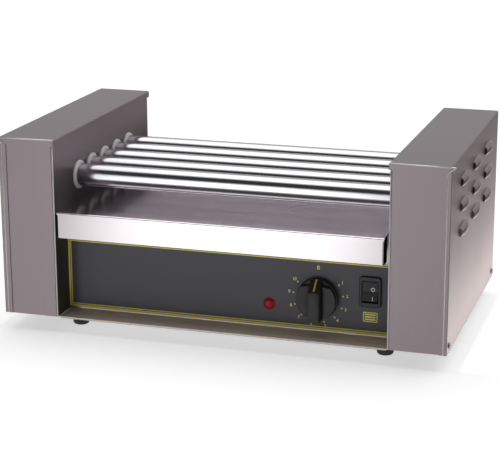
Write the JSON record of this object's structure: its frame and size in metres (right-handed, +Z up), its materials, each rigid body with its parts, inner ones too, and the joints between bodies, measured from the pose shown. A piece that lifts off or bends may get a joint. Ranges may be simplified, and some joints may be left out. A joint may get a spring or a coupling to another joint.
{
  "type": "hot dog roller grill",
  "caption": "Counter-top roller grill: heated chrome rollers between two steel end towers, over a pull-out drip tray and a recessed control panel.",
  "frame": {"origin": "on the table under the middle of the machine", "axes": "+X to the right seen from the control panel, +Y to the back, +Z up"},
  "size_m": [0.555, 0.32, 0.24],
  "materials": {
    "tower_steel": "vertical brushed grain, satin",
    "panel_steel": "brushed along the width, satin",
    "tray_steel": "brushed along the width, satin",
    "inner_steel": "plain rolled sheet",
    "roller_chrome": "mirror chrome plate",
    "bush_plastic": "off-white filled PTFE",
    "overlay_print": "slate film with a yellow double border",
    "knob_plastic": "matt black moulding with a yellow pointer",
    "switch_plastic": "black moulding",
    "lamp_red": "clear red moulding",
    "foot_rubber": "black rubber",
    "screw_steel": "bright zinc plate",
    "chain_steel": "oiled dark steel",
    "sprocket_steel": "machined steel, oiled",
    "motor_paint": "black stoved paint",
    "gearbox_zinc": "die-cast, satin",
    "element_sheath": "heat-tinted steel sheath",
    "ceramic": "glazed off-white ceramic",
    "control_plastic": "cream phenolic moulding",
    "gland_plastic": "black polyamide"
  },
  "bodies": {
    "chassis": {"base_plate": "inner_steel", "foot_front_left": "foot_rubber", "foot_front_right": "foot_rubber", "foot_rear_left": "foot_rubber", "foot_rear_right": "foot_rubber", "foot_screws": "screw_steel", "foot_nuts": "screw_steel", "front_panel": "panel_steel", "panel_overlay": "overlay_print", "rear_panel": "panel_steel", "tray_deck": "inner_steel", "tie_screws": "screw_steel", "right_tower_frame": "tower_steel", "left_tower_frame": "tower_steel", "right_tower_cover": "tower_steel", "left_tower_cover": "tower_steel", "right_bushes": "bush_plastic", "left_bushes": "bush_plastic", "cover_screws": "screw_steel", "chain_inner_links": "chain_steel", "chain_outer_links": "chain_steel", "motor_plate": "inner_steel", "motor_gearbox": "gearbox_zinc", "motor_can": "motor_paint", "motor_posts": "screw_steel", "motor_screws": "screw_steel", "element_bracket": "inner_steel", "heating_elements": "element_sheath", "element_holders": "ceramic", "element_centring_discs": "ceramic", "thermostat_body": "control_plastic", "thermostat_screws": "screw_steel", "power_switch_housing": "switch_plastic", "pilot_lamp_lens": "lamp_red", "pilot_lamp_body": "switch_plastic", "cable_gland": "gland_plastic", "cable_gland_nut": "gland_plastic", "terminal_block": "control_plastic"},
    "roller_1": {"roller_1_tube": "roller_chrome", "roller_1_end_fittings": "sprocket_steel", "roller_1_sprocket": "sprocket_steel"},
    "roller_2": {"roller_2_tube": "roller_chrome", "roller_2_end_fittings": "sprocket_steel", "roller_2_sprocket": "sprocket_steel"},
    "roller_3": {"roller_3_tube": "roller_chrome", "roller_3_end_fittings": "sprocket_steel", "roller_3_sprocket": "sprocket_steel"},
    "roller_4": {"roller_4_tube": "roller_chrome", "roller_4_end_fittings": "sprocket_steel", "roller_4_sprocket": "sprocket_steel"},
    "roller_5": {"roller_5_tube": "roller_chrome", "roller_5_end_fittings": "sprocket_steel", "roller_5_sprocket": "sprocket_steel"},
    "motor_output": {"motor_shaft": "sprocket_steel", "motor_sprocket": "sprocket_steel"},
    "thermostat_control": {"thermostat_knob": "knob_plastic", "thermostat_shaft": "screw_steel"},
    "switch_rocker": {"power_switch_rocker": "switch_plastic"},
    "tray": {"drip_tray": "tray_steel"}
  },
  "joints": [
    {"name": "roller_1_spin", "type": "hinge", "parent": "chassis", "child": "roller_1", "pos_m": [0, -0.082, 0.181], "axis": [1, 0, 0], "continuous": true, "deforming": ["chain_inner_links", "chain_outer_links"]},
    {"name": "roller_2_spin", "type": "hinge", "parent": "chassis", "child": "roller_2", "pos_m": [0, -0.041, 0.181], "axis": [1, 0, 0], "continuous": true},
    {"name": "roller_3_spin", "type": "hinge", "parent": "chassis", "child": "roller_3", "pos_m": [0, 0, 0.181], "axis": [1, 0, 0], "continuous": true},
    {"name": "roller_4_spin", "type": "hinge", "parent": "chassis", "child": "roller_4", "pos_m": [0, 0.041, 0.181], "axis": [1, 0, 0], "continuous": true},
    {"name": "roller_5_spin", "type": "hinge", "parent": "chassis", "child": "roller_5", "pos_m": [0, 0.082, 0.181], "axis": [1, 0, 0], "continuous": true},
    {"name": "motor_spin", "type": "hinge", "parent": "chassis", "child": "motor_output", "pos_m": [0.22, 0, 0.09179], "axis": [1, 0, 0], "continuous": true},
    {"name": "thermostat_turn", "type": "hinge", "parent": "chassis", "child": "thermostat_control", "pos_m": [0.1123, -0.125, 0.06375], "axis": [0, 1, 0], "range_deg": [0, 305]},
    {"name": "power_switch_rock", "type": "hinge", "parent": "chassis", "child": "switch_rocker", "pos_m": [0.17475, -0.119, 0.0765], "axis": [1, 0, 0], "range_deg": [0, 18]},
    {"name": "tray_slide", "type": "slide", "parent": "chassis", "child": "tray", "axis": [0, -1, 0], "range_m": [0, 0.23]}
  ],
  "couplings": [
    {"joint": "roller_2_spin", "follows": "roller_1_spin", "ratio": 1},
    {"joint": "roller_3_spin", "follows": "roller_1_spin", "ratio": 1},
    {"joint": "roller_4_spin", "follows": "roller_1_spin", "ratio": 1},
    {"joint": "roller_5_spin", "follows": "roller_1_spin", "ratio": 1},
    {"joint": "motor_spin", "follows": "roller_1_spin", "ratio": 1}
  ]
}
